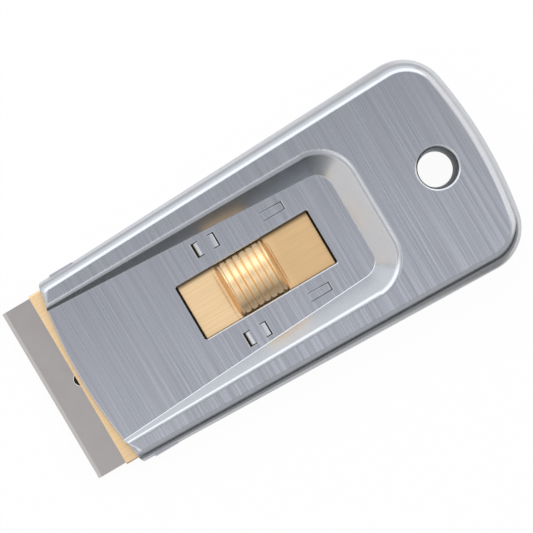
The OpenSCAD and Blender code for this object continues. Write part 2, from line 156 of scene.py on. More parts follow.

# Cards round the object, which give the bright metal its dark lines: name and two corners. The
# lying card is painted shadow: it covers the floor beside the object on its shaded side, where the
# object's shadow falls, and shows only in reflections.
CARDS = (
    ("standing_card", (-0.5, -0.321, 0), (0.6, -0.32, 0.16)),
    ("floor_shadow_card", (-0.5, -0.32, 0.0001), (0.6, -0.0238, 0.0002)),
    ("side_card", (-0.5, 0.0238, 0.0001), (0.6, 0.3, 0.0002)),
)

# The camera of the photo: lens and sensor in millimetres, place in metres and turn
LENS, SENSOR = 157.8, 36
CAMERA_PLACE = (-0.00012, 0.00042, 0.47)
CAMERA_TURN = math.radians(-30.6)


def linear(code):
    """The linear colour of an sRGB hex code."""
    parts = [int(code[i : i + 2], 16) / 255 for i in (0, 2, 4)]
    return tuple(c / 12.92 if c <= 0.04045 else ((c + 0.055) / 1.055) ** 2.4 for c in parts)


def length(name, description, default):
    """A length that is shown in the scene's units. The default is given in millimetres."""
    return FloatProperty(
        name=name, description=description, default=default * MM, unit="LENGTH", precision=5
    )


def colour(name, description, code):
    return FloatVectorProperty(
        name=name, description=description, default=linear(code), subtype="COLOR", min=0, max=1
    )


class ScraperHandle(bpy.types.PropertyGroup):
    """Sizes of the pressed steel handle"""

    sheet: length("Sheet", "Thickness of the pressed sheet", 0.6)
    front_bow: length("Front bow", "Radius of the bowed front edge", 95)
    rear_bow: length("Rear bow", "Radius of the bowed rear edge", 90)
    corner: length("Rear corner", "Radius of the rear corners", 9.4)
    half_front: length("Half front", "Half the width at the front edge", 20.8)
    edge: length("Top edge", "Radius that rounds the outer top edge", 2.2)
    draft: FloatProperty(
        name="Draft",
        description="Lean of the outer walls from upright",
        default=math.radians(10),
        subtype="ANGLE",
    )
    panel: length("Panel height", "Height of the recessed panel", 3.75)
    ridge_front: length("Ridge at front", "Ridge above the panel at the front edge", 0.55)
    ridge_rear: length("Ridge at rear", "Ridge above the panel at the rear", 5.698)
    recess_half: length("Half recess", "Half the width of the recess, at the ridge", 15.6)
    crease_x: length("Rear crease", "Place of the crease in front of the recess's rear wall", 19.6)
    crease_corner: length("Crease corner", "Radius of the crease's rear corners", 3.75)
    brow: length("Brow", "Width of the rounding between ridge and wall", 0.79)
    crease: length("Crease", "Width of the rounding at the foot of the wall", 0.16)
    nose_in: length("Nose inside", "Length of the sloped front ends at the recess", 0.45)
    nose_out: length("Nose outside", "Length of the sloped front ends at the outer edge", 1.8)
    nose_round: length("Nose rounding", "Rounding below the sloped front ends", 0.45)
    window_x0: length("Window front", "Place of the window's front edge", -18.1)
    window_x1: length("Window rear", "Place of the window's rear edge", 12.6)
    window_w: length("Window width", "Width of the window", 12.2)
    taper_x: length("End taper", "How much the window's ends close in through the sheet", 0.5)
    taper_y: length("Side taper", "How much the window's sides close in through the sheet", 0.16)
    hole_x: length("Hole place", "Place of the hanging hole", 38.9)
    hole_d: length("Hole", "Diameter of the hanging hole in the shell", 8.0)
    hole_lip: length("Hole lip", "Depth of the lip that is turned down in the hole", 1.6)
    hole_round: length("Hole edge", "Radius that rounds the hole's edge", 0.7)
    roll: length("Window edge", "Rounding of the window's upper edge", 0.28)
    burr: length("Edge break", "Rounding of the sheet's cut edges", 0.07)
    slope: FloatProperty(
        name="Wall slope",
        description="Slope of the wall between panel and ridge",
        default=math.radians(43),
        subtype="ANGLE",
    )


class ScraperCarrier(bpy.types.PropertyGroup):
    """Sizes of the brass carrier"""

    sheet: length("Sheet", "Thickness of the brass sheet", 0.5)
    lip_x: length("Lip place", "Place of the lip's front edge", -44.3)
    lip_z: length("Lip height", "Height of the underside of the lip", 1.92)
    tongue_z: length("Tongue height", "Height of the underside of the tongue", 2.3)
    step_x: length("Step place", "Place where the sheet steps up over the blade's spine", -37.72)
    shoulder_x: length("Shoulders", "Place where the sheet narrows to the tongue", -29.1)
    tongue_w: length("Tongue width", "Width of the tongue", 27)
    flange_l: length("Flange", "Length of the flanges beside the blade", 7)
    flange_t: length("Flange thickness", "Thickness of the flanges beside the blade", 0.3)
    fold: length("Fold", "Radius of the folds", 0.4)
    thumb_x0: length("Thumb front", "Place of the thumb piece's front foot", -10.5)
    thumb_x1: length("Thumb rear", "Place of the thumb piece's rear foot", 2.6)
    thumb_w: length("Thumb width", "Width of the thumb piece", 11.8)
    thumb_top: length("Thumb height", "Height of the thumb piece's crest", 6.2)
    groove: length("Groove", "Depth of the grooves across the thumb piece", 0.4)
    stud: length("Stud", "Diameter of the stud in the blade's hole", 2.7)
    stud_x: length("Stud place", "Place of the stud", -43.7)
    stud_edge: length("Stud edge", "Rounding of the stud's top", 0.12)
    stud_depth: length("Stud depth", "How far the stud's top stays below the blade's", 0.04)
    flange_depth: length("Flange depth", "How far flanges and rails reach below the blade", 0.38)
    shoulder: length("Shoulder corner", "Radius of the shoulders' corners", 2)
    lap: length("Tongue lap", "How far the tongue runs under the shoulders", 3)
    burr: length("Edge break", "Rounding of the sheet's cut edges", 0.05)
    grooves: IntProperty(
        name="Grooves", description="Number of grooves across the thumb piece", default=7, min=2
    )


class ScraperFinish(bpy.types.PropertyGroup):
    """Colours of the metals and the studio"""

    flats: colour("Brushed plating", "Brushed flats of the shell", "AAADB7")
    bright: colour("Bright plating", "Pressed walls and edges of the shell", "C7CBD2")
    plate: colour("Back plate", "Plated back plate", "BABDC4")
    brass: colour("Brass", "Pale sheet brass", "F8DAAF")
    brass_behind_thumb: colour("Brass behind the thumb", "Deeper brass behind the thumb piece", "E4C395")
    # Dark brown painted on the brass as shade: under the panel beside the window, where it is seen
    # through the tabs' slits, and as a shadow band along one side of the window
    brass_shade: colour("Painted brass shade", "Shade painted on the brass under the shell and along the window", "4A3A28")
    # The stud's near-black is painted shade in the blade's hole
    stud: colour("Stud", "Stud in the blade's hole, dark as painted shade", "2A2A2C")
    blade: colour("Blade", "Ground blade steel", "B0ACAC")
    ground: colour("Ground edge", "Ground bevel of the blade", "BEBCBC")
    spine: colour("Spine", "Rolled aluminium", "C6C7CA")
    # Near black: bare steel on the punched edges, darkened further as painted shade, and painted
    # shade down the hanging hole's wall
    sheared: colour("Cut edge", "Punched edges, and the hole's wall, dark as painted shade", "202022")
    floor: colour("Floor", "Studio floor", "F4F4F4")


def setting_names(group):
    """Names of a group's own settings."""
    return [key for key in group.bl_rna.properties.keys() if key not in ("rna_type", "name")]


def lengths(group):
    """The lengths of a group in millimetres, and its other values as they are."""
    values = {}
    for key in setting_names(group):
        value = getattr(group, key)
        is_length = group.bl_rna.properties[key].unit == "LENGTH"
        values[key] = value / MM if is_length else value
    return SimpleNamespace(**values)


def object_mode():
    if bpy.context.mode != "OBJECT":
        bpy.ops.object.mode_set(mode="OBJECT")


def focus(obj):
    """Leaves one object selected and active."""
    object_mode()
    bpy.ops.object.select_all(action="DESELECT")
    obj.select_set(True)
    bpy.context.view_layer.objects.active = obj


def edit(obj):
    focus(obj)
    bpy.ops.object.mode_set(mode="EDIT")


def begin(name, primitive, **settings):
    """Adds a primitive, names it and opens it in edit mode, selected all over."""
    object_mode()
    bpy.ops.object.select_all(action="DESELECT")
    primitive(**settings)
    obj = bpy.context.object
    obj.name = obj.data.name = name
    bpy.ops.object.mode_set(mode="EDIT")
    bpy.ops.mesh.select_mode(type="VERT")
    bpy.ops.mesh.select_all(action="SELECT")
    return obj


def pick(obj, kind, test):
    """Selects the vertices, edges or faces that pass a test of their place or normal."""
    bpy.ops.mesh.select_mode(type=kind)
    bpy.ops.mesh.select_all(action="DESELECT")
    mesh = bmesh.from_edit_mesh(obj.data)
    mesh.normal_update()
    for item in {"VERT": mesh.verts, "EDGE": mesh.edges, "FACE": mesh.faces}[kind]:
        if test(item):
            item.select_set(True)
    mesh.select_flush_mode()
    bmesh.update_edit_mesh(obj.data)


def extrude(x=0.0, y=0.0, z=0.0):
    bpy.ops.mesh.extrude_region_move(TRANSFORM_OT_translate={"value": (x, y, z)})


def draw(name, start, moves, height=0.0):
    """Draws a closed outline at a height, clockwise, and fills it. A move is a point to run
    straight to, or the centre, degrees and steps of an arc."""
    obj = begin(name, bpy.ops.mesh.primitive_plane_add, size=1)
    bpy.ops.mesh.merge(type="CENTER")
    bpy.ops.transform.translate(value=(start[0], start[1], height))
    at = Vector(start)
    for move in moves:
        if len(move) == 2:
            extrude(move[0] - at.x, move[1] - at.y)
            at = Vector(move)
        else:
            centre, degrees, steps = move
            bpy.ops.mesh.spin(
                steps=steps,
                angle=math.radians(degrees),
                center=(centre[0], centre[1], height),
                axis=(0, 0, 1),
            )
            arm = at - Vector(centre)
            arm.rotate(Matrix.Rotation(math.radians(-degrees), 2))
            at = Vector(centre) + arm
    bpy.ops.mesh.select_all(action="SELECT")
    bpy.ops.mesh.remove_doubles(threshold=0.001)
    bpy.ops.mesh.edge_face_add()
    return obj


def cut(obj, tool, operation="DIFFERENCE"):
    """Cuts a tool out of a piece, or joins it on, and removes the tool."""
    focus(obj)
    change = obj.modifiers.new("cut", "BOOLEAN")
    change.object = tool
    change.operation = operation
    change.solver = "EXACT"
    bpy.ops.object.modifier_apply(modifier=change.name)
    bpy.data.objects.remove(tool)


def block(name, low, high):
    """A box between two corners, left in edit mode."""
    obj = begin(name, bpy.ops.mesh.primitive_cube_add, size=1)
    size = [b - a for a, b in zip(low, high)]
    middle = [(a + b) / 2 for a, b in zip(low, high)]
    bpy.ops.transform.resize(value=size)
    bpy.ops.transform.translate(value=middle)
    return obj


def bevel(width, segments, **settings):
    bpy.ops.mesh.bevel(
        offset=width, segments=segments, affect="EDGES", clamp_overlap=False, **settings
    )


def join(obj, other):
    focus(obj)
    other.select_set(True)
    bpy.ops.object.join()


def face_out():
    """Turns every face of the mesh that is in edit mode outwards."""
    bpy.ops.mesh.select_all(action="SELECT")
    bpy.ops.mesh.normals_make_consistent(inside=False)


def break_edges(obj, width, degrees, slot=-1):
    """Rounds the edges that turn more than an angle, in the finish of a slot or of their faces."""
    focus(obj)
    soft = obj.modifiers.new("edges", "BEVEL")
    soft.width = width
    soft.segments = 2
    soft.limit_method = "ANGLE"
    soft.angle_limit = math.radians(degrees)
    soft.material = slot
    bpy.ops.object.modifier_apply(modifier=soft.name)


def finish_piece(obj, body, slot, *nodes):
    """Cleans a piece, scales it to metres, shades it and puts it in the place of its CAD node."""
    edit(obj)
    bpy.ops.mesh.select_all(action="SELECT")
    bpy.ops.mesh.dissolve_degenerate(threshold=0.002)
    focus(obj)
    obj.scale = (MM, MM, MM)
    bpy.ops.object.transform_apply(location=True, rotation=True, scale=True)
    bpy.ops.object.shade_smooth_by_angle(angle=SMOOTH_ANGLE)
    weights = obj.modifiers.new("weights", "WEIGHTED_NORMAL")
    weights.keep_sharp = True
    weights.weight = 80
    bpy.ops.object.modifier_apply(modifier=weights.name)
    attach(obj, body)
    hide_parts(*nodes)


def ray(degrees):
    return Vector((math.cos(math.radians(degrees)), math.sin(math.radians(degrees))))


def handle_plan(h):
    """Outline of the handle: its front corner, rear corners and the turns between them."""
    front = Vector((front_edge(h, h.half_front), h.half_front))
    rear_centre = Vector((X_REAR - h.rear_bow, 0))
    corner_y = SHELL_HIGH.y / MM - h.corner
    reach = math.sqrt((h.rear_bow - h.corner) ** 2 - corner_y**2)
    corner = Vector((rear_centre.x + reach, corner_y))
    arm = corner - front
    side = math.degrees(math.atan2(arm.y, arm.x) + math.asin(h.corner / arm.length))
    rear = math.degrees(math.atan2(corner.y, reach))
    return SimpleNamespace(
        front=front,
        corner=corner,
        rear_centre=rear_centre,
        side=side,
        rear=rear,
        tilt=math.atan((h.ridge_rear - h.ridge_front) / (X_REAR - X_FRONT)),
    )


def front_edge(h, y):
    """Place of the bowed front edge."""
    return X_FRONT + h.front_bow - math.sqrt(h.front_bow**2 - y * y)


def land_z(h, plan, x):
    """Height of the top of the ridge."""
    return h.panel + h.ridge_front + (x - X_FRONT) * math.tan(plan.tilt)


def shell_outline(h, plan, inset):
    """Moves of the handle's outline, a distance inside its rim."""
    corner_turn = 90 + plan.side - plan.rear
    touch = plan.corner + (h.corner - inset) * ray(90 + plan.side)
    front = Vector(plan.front)
    # The straight side is run on to the bowed front edge in a few steps
    for _ in range(4):
        front.y = touch.y + (front.x - touch.x) * math.tan(math.radians(plan.side))
        front.x = front_edge(h, front.y)
    bow = math.degrees(math.asin(front.y / h.front_bow))
    return front, [
        touch,
        (plan.corner, corner_turn, 22),
        (plan.rear_centre, 2 * plan.rear, 12),
        (plan.corner * FLIP, corner_turn, 22),
        front * FLIP,
        ((X_FRONT + h.front_bow, 0), 2 * bow, 24),
    ]


def loft(name, low, high):
    """A block between two outlines that are drawn alike: for each a start, moves and a height."""
    obj = draw(name, *low)
    top = draw(name + "_top", *high)
    join(obj, top)
    edit(obj)
    bpy.ops.mesh.select_mode(type="EDGE")
    bpy.ops.mesh.select_all(action="SELECT")
    bpy.ops.mesh.bridge_edge_loops()
    bpy.ops.mesh.select_all(action="SELECT")
    bpy.ops.mesh.fill_holes(sides=0)
    face_out()
    return obj


def shell_block(h, plan):
    """A block with the outside of the shell: flared, drafted sides, round corners, sloped top."""
    top = land_z(h, plan, X_REAR) + SPARE
    shell = loft(
        "pressed_shell",
        (*shell_outline(h, plan, 0), 0),
        (*shell_outline(h, plan, top * math.tan(h.draft)), top),
    )
    # The top rises steadily to the rear, and the front end of each leg slopes down to the panel
    rising = (-math.sin(plan.tilt), 0, math.cos(plan.tilt))
    planes = [((X_FRONT, 0, h.panel + h.ridge_front), rising)]
    low_y, high_y = h.recess_half, h.half_front - NOSE_INSET
    start_x = front_edge(h, low_y) + h.nose_in
    end_x = front_edge(h, high_y) + h.nose_out
    turn = math.atan2(end_x - start_x, high_y - low_y)
    for side in (1, -1):
        way = Vector((-math.cos(turn), side * math.sin(turn))) * math.sin(NOSE_SLOPE)
        place = (start_x, side * low_y, land_z(h, plan, start_x))
        planes.append((place, (way.x, way.y, math.cos(NOSE_SLOPE))))
    for place, normal in planes:
        bpy.ops.mesh.select_all(action="SELECT")
        bpy.ops.mesh.bisect(plane_co=place, plane_no=normal, use_fill=True, clear_outer=True)
    return shell


def sides_of(edge):
    """Normals of the two faces at an edge, the more upright face's first."""
    normals = [face.normal for face in edge.link_faces]
    return sorted(normals, key=lambda n: abs(n.z)) if len(normals) == 2 else None


def round_top(shell, h):
    """Rounds the outer top edge, but not along the front."""

    def outer(edge):
        pair = sides_of(edge)
        return pair and abs(pair[0].z) < UPRIGHT and pair[0].x > -0.6 and pair[1].z > 0.5

    pick(shell, "EDGE", outer)
    bevel(h.edge * math.tan((math.pi / 2 - h.draft) / 2), 10)


def recess_loop(h, plan, rise):
    """Moves of the recess's outline at a height above the panel: straight legs, round corners."""
    spread = rise / math.tan(h.slope)
    run = 1 / math.tan(h.slope)
    gain = math.tan(plan.tilt) * run
    lean = math.atan(gain)
    # The crease's side, through its place at the front edge
    side_front = h.recess_half - h.ridge_front * run
    centre_x = h.crease_x - h.crease_corner
    centre_y = side_front - gain * (centre_x - X_FRONT) - h.crease_corner / math.cos(lean)
    radius = h.crease_corner + spread
    corner = Vector((centre_x, centre_y))
    start_x = X_FRONT - FRONT_DEPTH
    touch = corner + radius * ray(90 - math.degrees(lean))
    start = Vector((start_x, touch.y + gain * (touch.x - start_x)))
    turn = 90 - math.degrees(lean)
    return start, [
        touch,
        (corner, turn, 18),
        (corner + Vector((radius, 0))) * FLIP,
        (corner * FLIP, turn, 18),
        start * FLIP,
        start,
    ]


def press_recess(shell, h, plan):
    """Presses the panel down between the legs, with sloped walls and a round brow and crease."""
    rise = land_z(h, plan, X_REAR) - h.panel
    tool = loft(
        "recess",
        (*recess_loop(h, plan, 0), h.panel),
        (*recess_loop(h, plan, rise), h.panel + rise),
    )
    cut(shell, tool)


def round_recess(shell, h):
    """Rounds the crease at the foot of the wall, the brow at its top and the foot of the noses."""
    wall = math.cos(h.slope)

    def at_wall(edge, low, high):
        pair = sides_of(edge)
        return pair and abs(pair[0].z - wall) < 0.02 and low < pair[1].z < high

    def crease(edge):
        return at_wall(edge, LEVEL, math.inf)

    def brow(edge):
        return at_wall(edge, *RIDGE_TOP)

    def nose(edge):
        pair = sides_of(edge)
        return pair and pair[0].x < FRONTWARD and pair[1].x < -0.1 and 0.8 < pair[1].z < 0.97

    edit(shell)
    for test, width, segments in (
        (crease, h.crease, 4),
        (brow, h.brow, 6),
        (nose, h.nose_round, 4),
    ):
        pick(shell, "EDGE", test)
        bevel(width, segments)


def hole_tool(h, plan):
    """A plug for the hanging hole whose top flares out, which rounds the hole's edge."""
    radius = h.hole_d / 2
    tool = begin("hole", bpy.ops.mesh.primitive_plane_add, size=1)
    bpy.ops.mesh.merge(type="CENTER")
    bpy.ops.transform.translate(value=(radius, 0, -h.hole_lip))
    extrude(z=h.hole_lip - h.hole_round)
    bpy.ops.mesh.spin(
        steps=7,
        angle=-math.pi / 2,
        center=(radius + h.hole_round, 0, -h.hole_round),
        axis=(0, 1, 0),
    )
    extrude(z=1)
    bpy.ops.mesh.select_all(action="SELECT")
    bpy.ops.mesh.spin(steps=72, angle=2 * math.pi, center=(0, 0, 0), axis=(0, 0, 1))
    bpy.ops.mesh.select_all(action="SELECT")
    bpy.ops.mesh.remove_doubles(threshold=0.001)
    bpy.ops.mesh.fill_holes(sides=0)
    face_out()
    focus(tool)
    tool.location = (h.hole_x, 0, land_z(h, plan, h.hole_x) + NEAR)
    tool.rotation_euler = (0, -plan.tilt, 0)
    bpy.ops.object.transform_apply(location=True, rotation=True, scale=True)
    return tool


def punch(shell, h, plan):
    """Punches the window and the openings of the tabs as pockets, and the hanging hole."""
    floor, top = h.panel - SPARE, h.panel + SPARE
    half = h.window_w / 2
    cut(shell, block("window", (h.window_x0, -half, floor), (h.window_x1, half, top)))
    for tab in TABS:
        x0, x1 = sorted((tab.hinge, tab.hinge + tab.way * tab.length))
        for side in (1, -1):
            y0, y1 = sorted((side * (tab.y - tab.width / 2), side * (tab.y + tab.width / 2)))
            cut(shell, block("tab_opening", (x0, y0, floor), (x1, y1, top)))
    cut(shell, hole_tool(h, plan))


def open_sheet(shell, h):
    """Takes away the block's bottom and front and the floors of the pockets: the sheet is left."""
    hole = Vector((h.hole_x, 0))

    def unwanted(face):
        middle = face.calc_center_median()
        under = face.normal.z < -0.9
        front = face.normal.x < FRONTWARD and middle.x < X_FRONT + FRONT_DEPTH
        in_panel = abs(middle.y) < h.recess_half and middle.x < h.crease_x
        pocket = in_panel and middle.z < h.panel - CLEAR
        lip_floor = (middle.xy - hole).length < 0.5
        return under or front or pocket or lip_floor

    edit(shell)
    pick(shell, "FACE", unwanted)
    bpy.ops.mesh.delete(type="FACE")


def bend_tabs(shell, h):
    """Draws each tab out of the hinge edge of its opening and bends it down."""
    steps = 4
    for tab in TABS:
        reach = tab.length - tab.slit
        for side in (1, -1):
            middle_y = side * tab.y

            def hinge(edge):
                return all(
                    abs(v.co.x - tab.hinge) < NEAR
                    and abs(v.co.z - h.panel) < NEAR
                    and abs(v.co.y - middle_y) < tab.width / 2 + NEAR
                    for v in edge.verts
                )

            pick(shell, "EDGE", hinge)
            extrude(x=tab.way * TAB_STRIP)
            bpy.ops.transform.resize(
                value=(1, 1 - 2 * tab.gap / tab.width, 1),
                center_override=(tab.hinge, middle_y, h.panel),
            )
            for i in range(steps):
                drop = tab.dip * ((i / steps) ** 2 - ((i + 1) / steps) ** 2)
                extrude(x=tab.way * (reach - TAB_STRIP) / steps, z=drop)


def shell_faces(shell, h):
    """Puts the bright finish on walls and roundings, the brushed one on the flats, and the dark
    sheared one down the hanging hole's wall as painted shade."""
    hole = Vector((h.hole_x, 0))

    def bright(face):
        return face.normal.z < BRUSHED

    # The hole's wall takes the dark sheared finish as painted shade
    def shaded_hole_wall(face):
        near = (face.calc_center_median().xy - hole).length < h.hole_d / 2 + 2 * CLEAR
        return near and abs(face.normal.z) < UPRIGHT

    for index, test in ((BRIGHT_SLOT, bright), (CUT_EDGE_AND_SHADE_SLOT, shaded_hole_wall)):
        pick(shell, "FACE", test)
        shell.active_material_index = index
        bpy.ops.object.material_slot_assign()


def thicken(shell, h):
    """Gives the sheet its thickness, with sheared edges, and grinds the rim of its leaning walls
    flat."""
    edit(shell)
    bpy.ops.mesh.select_all(action="SELECT")
    bpy.ops.mesh.remove_doubles(threshold=NEAR)
    bpy.ops.mesh.dissolve_degenerate(threshold=NEAR)
    focus(shell)
    wall = shell.modifiers.new("wall", "SOLIDIFY")
    wall.thickness = h.sheet
    wall.offset = -1
    wall.use_even_offset = True
    wall.use_quality_normals = True
    wall.material_offset_rim = CUT_EDGE_AND_SHADE_SLOT
    bpy.ops.object.modifier_apply(modifier=wall.name)
    edit(shell)
    pick(shell, "VERT", lambda vert: vert.co.z < NEAR)
    bpy.ops.transform.resize(value=(1, 1, 0), center_override=(0, 0, 0))


def middle_of(edge):
    return (edge.verts[0].co + edge.verts[1].co) / 2


def work_punched_edges(shell, h):
    """Leaves the marks of the punch: a window that is a little smaller on the underside, so that
    its cut edge shows from above, and rolled upper edges, most at the window and the panel's
    front."""
    half_x, half_y = (h.window_x1 - h.window_x0) / 2, h.window_w / 2
    middle_x = h.window_x0 + half_x

    def at_window(place):
        return abs(place.x - middle_x) < half_x + CLEAR and abs(place.y) < half_y + CLEAR

    def at_tab(place):
        return any(
            abs(place.x - tab.hinge - tab.way * tab.length / 2) < tab.length / 2 + CLEAR
            and abs(abs(place.y) - tab.y) < tab.width / 2 + CLEAR
            for tab in TABS
        )

    def under_window(vert):
        return at_window(vert.co) and vert.co.z < h.panel - h.sheet / 2

    def upper(edge, depth):
        pair = sides_of(edge)
        shown = pair and abs(pair[0].z) < 0.6 < pair[1].z
        in_panel = shown and middle_of(edge).z < h.panel + NEAR
        return in_panel and all(vert.co.z > h.panel - depth for vert in edge.verts)

    def window_edge(edge):
        place = middle_of(edge)
        front = abs(place.y) < h.recess_half and place.x < X_FRONT + FRONT_DEPTH
        return (at_window(place) or front) and upper(edge, NEAR)

    def tab_edge(edge):
        return at_tab(middle_of(edge)) and upper(edge, h.sheet / 2)

    pick(shell, "VERT", under_window)
    bpy.ops.transform.resize(
        value=(1 - h.taper_x / half_x, 1 - h.taper_y / half_y, 1),
        center_override=(middle_x, 0, h.panel - h.sheet),
    )
    for test, width in ((window_edge, h.roll), (tab_edge, TAB_ROLL * h.roll)):
        pick(shell, "EDGE", test)
        bevel(width, 3, material=BRIGHT_SLOT)


def lock_slots(shell, h):
    """Cuts the slots in the side walls that the back plate's lock tongues hold in."""
    x0 = X_FRONT + LOCK_SLOT.start
    x1 = x0 + LOCK_SLOT.length
    z0, z1 = PLATE_LOW.z / MM - LOCK_SLOT.play, PLATE_HIGH.z / MM + LOCK_SLOT.play
    inner, outer = h.half_front - LOCK_SLOT.inside, h.half_front + LOCK_SLOT.outside
    for side in (1, -1):
        y0, y1 = sorted((side * inner, side * outer))
        cut(shell, block("lock_slot", (x0, y0, z0), (x1, y1, z1)))


class SCRAPER_OT_shell(bpy.types.Operator):
    """Models the pressed steel shell in the place of its CAD node"""

    bl_idname = "scraper.shell"
    bl_label = "Pressed Shell"

    def execute(self, context):
        h = lengths(context.scene.scraper_handle)
        finish = context.scene.scraper_finish
        plan = handle_plan(h)
        shell = shell_block(h, plan)
        finishes = [
            brushed_plating(finish),
            bright_plating(finish),
            # The sheared finish is partly painted shade: near black on the cut edges and down the
            # hanging hole's wall
            dull_steel("Steel, sheared and painted shade", finish.sheared, 0.5),
        ]
        # The last is there twice, because the cut edges of bright faces are a slot further on
        for material in finishes + finishes[-1:]:
            shell.data.materials.append(material)
        round_top(shell, h)
        press_recess(shell, h, plan)
        round_recess(shell, h)
        punch(shell, h, plan)
        open_sheet(shell, h)
        bend_tabs(shell, h)
        shell_faces(shell, h)
        thicken(shell, h)
        work_punched_edges(shell, h)
        lock_slots(shell, h)
        break_edges(shell, h.burr, 50, BRIGHT_SLOT)
        finish_piece(shell, "handle", "shell_steel", "top_shell")
        return {"FINISHED"}


def carrier_sheet(c):
    """Lip over the blade with its folded flanges, step over the spine, and tongue."""
    x0 = c.lip_x
    half = CARRIER_HIGH.y / MM
    rise = c.tongue_z - c.lip_z
    sheet = block("brass_carrier", (x0, -half, c.lip_z), (c.step_x, half, c.lip_z + c.sheet))
    pick(sheet, "FACE", lambda face: face.normal.x > 0.9)
    extrude(x=rise, z=rise)
    extrude(x=c.shoulder_x - c.step_x - rise)

    def shoulder(edge):
        a, b = (vert.co for vert in edge.verts)
        at_end = max(abs(a.x - c.shoulder_x), abs(b.x - c.shoulder_x)) < NEAR
        return at_end and abs(a.y - b.y) < NEAR

    pick(sheet, "EDGE", shoulder)
    bevel(c.shoulder, 8)
    floor = BLADE_LOW.z / MM - c.flange_depth
    x1 = CARRIER_HIGH.x / MM
    side_y = c.tongue_w / 2
    low, high = (c.shoulder_x - c.lap, -side_y, c.tongue_z), (x1, side_y, c.tongue_z + c.sheet)
    pieces = [block("tongue", low, high)]
    for side in (1, -1):
        y0, y1 = sorted((side * (half - c.flange_t), side * half))
        low, high = (x0, y0, floor), (x0 + c.flange_l, y1, c.lip_z + c.sheet / 2)
        pieces.append(block("flange", low, high))
        y0, y1 = sorted((side * (side_y - c.sheet), side * side_y))
        low, high = (c.shoulder_x, y0, floor), (x1, y1, c.tongue_z + c.sheet / 2)
        pieces.append(block("rail", low, high))
    for piece in pieces:
        cut(sheet, piece, "UNION")
    top = BLADE_HIGH.z / MM - c.stud_depth
    cylinder = bpy.ops.mesh.primitive_cylinder_add
    stud = begin("stud", cylinder, vertices=48, radius=c.stud / 2, depth=top - floor)
    bpy.ops.transform.translate(value=(c.stud_x, 0, (top + floor) / 2))
    pick(stud, "EDGE", lambda edge: min(v.co.z for v in edge.verts) > top - NEAR)
    bevel(c.stud_edge, 3)
    edit(sheet)

    def fold(edge):
        a, b = (vert.co for vert in edge.verts)
        at_side = max(abs(abs(a.y) - half), abs(abs(b.y) - half)) < NEAR
        on_top = min(a.z, b.z) > c.lip_z + c.sheet - NEAR
        return at_side and on_top and abs(a.x - b.x) > 0.5

    pick(sheet, "EDGE", fold)
    bevel(c.fold, 5)
    return sheet, stud


def thumb_height(c, u, v):
    """Height of the thumb piece at a share of its length and a share of its half width: a sloped
    front, a steep rear and a crown that falls to both sides, with grooves across its back."""

    def ramp(t, soft=THUMB.soft):
        if t < soft:
            return max(0.0, t + soft) ** 2 / (4 * soft)
        return min(t, 1 - max(0.0, 1 + soft - t) ** 2 / (4 * soft)) if t < 1 + soft else 1.0

    crown = 1 - THUMB.crown * abs(v) ** THUMB.crown_power
    corner = max(0.0, (abs(v) - THUMB.corner) / (1 - THUMB.corner)) ** 2
    front = ramp((u - THUMB.front - THUMB.corner_front * corner) / THUMB.front_run)
    rear = ramp((THUMB.rear - u - THUMB.corner_rear * corner) / THUMB.rear_run)
    back = 1 - THUMB.back * (2 * u - 1) ** 2
    rise = c.thumb_top - c.tongue_z - c.sheet
    pitch = (THUMB.last_groove - THUMB.first_groove) / (c.grooves - 1)
    t = (u - THUMB.first_groove) / pitch
    groove = 0.0
    if -0.5 < t < c.grooves - 0.5:
        hollow = 1 - abs(math.sin(math.pi * t))
        cut_in = max(0.0, 1 - abs(t - round(t)) / THUMB.cut_half)
        groove = c.groove * (THUMB.hollow * hollow + (1 - THUMB.hollow) * cut_in)
    return max(0.0, rise * crown * back - groove) * front * rear


def thumb_piece(c):
    """A fine grid lifted to the form of the thumb piece, with a foot in the tongue."""
    columns, rows = THUMB.grid
    grid = bpy.ops.mesh.primitive_grid_add
    thumb = begin("thumb", grid, x_subdivisions=columns, y_subdivisions=rows, size=1)
    span = c.thumb_x1 - c.thumb_x0
    bpy.ops.transform.resize(value=(span, c.thumb_w, 1))
    top = c.tongue_z + c.sheet
    bpy.ops.transform.translate(value=((c.thumb_x0 + c.thumb_x1) / 2, 0, top))
    mesh = bmesh.from_edit_mesh(thumb.data)
    for vert in mesh.verts:
        u = (vert.co.x - c.thumb_x0) / span
        vert.co.z = top - THUMB.sink + thumb_height(c, u, 2 * vert.co.y / c.thumb_w)
    bmesh.update_edit_mesh(thumb.data)
    pick(thumb, "EDGE", lambda edge: edge.is_boundary)
    extrude(z=-THUMB.foot)
    bpy.ops.mesh.edge_face_add()
    face_out()
    return thumb


class SCRAPER_OT_carrier(bpy.types.Operator):
    """Models the brass carrier and its thumb piece in the place of their CAD node"""

    bl_idname = "scraper.carrier"
    bl_label = "Brass Carrier"

    def execute(self, context):
        c = lengths(context.scene.scraper_carrier)
        finish = context.scene.scraper_finish
        sheet, stud = carrier_sheet(c)
        break_edges(sheet, c.burr, 60)
        join(sheet, thumb_piece(c))
        sheet.data.materials.clear()
        sheet.data.materials.append(sheet_brass(finish))
        # The stud is painted near black as the shade in the blade's hole
        stud.data.materials.append(dull_steel("Steel, painted dark as shade", finish.stud, 0.45))
        join(sheet, stud)
        finish_piece(sheet, "carriage", "carrier_brass", "blade_carrier")
        return {"FINISHED"}


